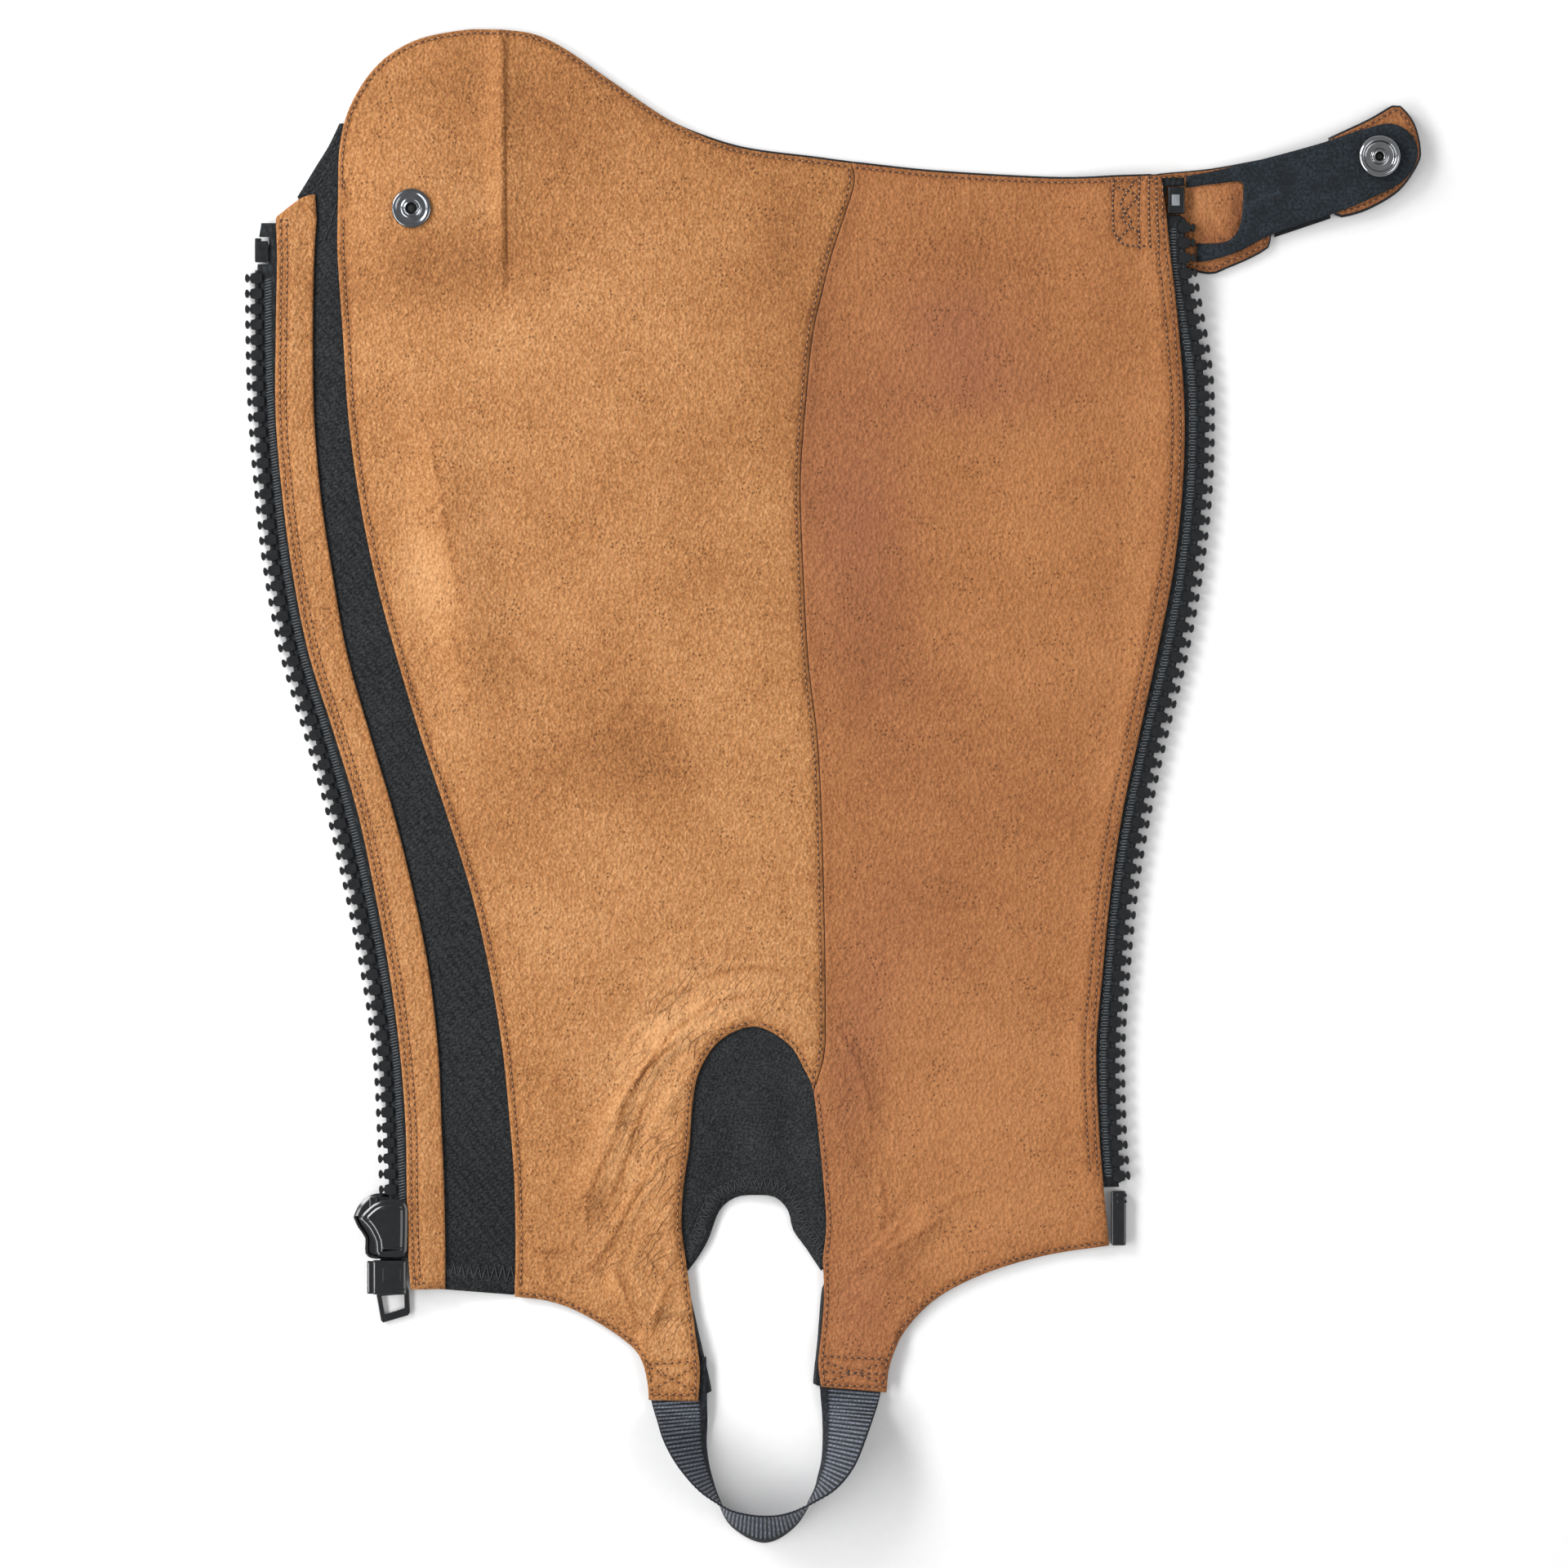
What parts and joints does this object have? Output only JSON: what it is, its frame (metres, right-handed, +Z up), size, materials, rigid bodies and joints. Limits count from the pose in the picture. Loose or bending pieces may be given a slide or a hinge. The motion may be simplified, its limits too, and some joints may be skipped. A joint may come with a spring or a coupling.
{
  "type": "riding half chap, unzipped and laid open flat",
  "caption": "Unzipped leather half chap laid open with its tan lining up: stretch side panel, side zip with slider, snap closure tab, elastic instep gusset and elastic foot strap.",
  "frame": {"origin": "centre of the outline, on the surface that the half chap lies on", "axes": "+X across the chap towards the closure tab, +Y from the foot strap towards the knee, +Z up out of the lining"},
  "size_m": [0.4464, 0.575, 0.0237],
  "materials": {
    "black_leather": "black full-grain leather, fine grain, low sheen",
    "tan_leather": "tan napped lining leather, matte",
    "stretch_fabric": "black elastic twill, matte",
    "elastic_webbing": "black ribbed elastic webbing",
    "zip_tape": "black woven polyester tape",
    "zip_plastic": "black moulded acetal, semi-gloss",
    "gunmetal": "dark nickel plating, soft sheen",
    "nickel": "nickel plating, soft sheen"
  },
  "bodies": {
    "root": {"shell_front": "black_leather", "shell_calf": "black_leather", "lining_front": "tan_leather", "lining_calf": "tan_leather", "stretch_panel": "stretch_fabric", "instep_gusset": "stretch_fabric", "zip_facing": "tan_leather", "zip_outer_strip": "black_leather", "zip_tape_left": "zip_tape", "zip_tape_right": "zip_tape", "zip_chain_left": "zip_plastic", "zip_chain_right": "zip_plastic", "zip_stop_left": "zip_plastic", "zip_stop_right": "zip_plastic", "zip_slider": "zip_plastic", "zip_box": "zip_plastic", "zip_pin": "zip_plastic", "foot_strap": "elastic_webbing", "tab_root_shell": "black_leather", "tab_root_lining": "tan_leather", "tab_elastic": "elastic_webbing", "tab_tip_shell": "black_leather", "tab_tip_lining": "tan_leather", "tab_overlay": "black_leather", "snap_stud_back": "gunmetal", "snap_stud": "nickel", "snap_socket": "nickel", "snap_cap": "gunmetal"},
    "pull": {"zip_pull": "zip_plastic"}
  },
  "joints": [
    {"name": "pull_swing", "type": "hinge", "parent": "root", "child": "pull", "pos_m": [-0.1695, -0.1622, 0.0022], "axis": [1, 0, 0], "range_deg": [0, 150]}
  ]
}
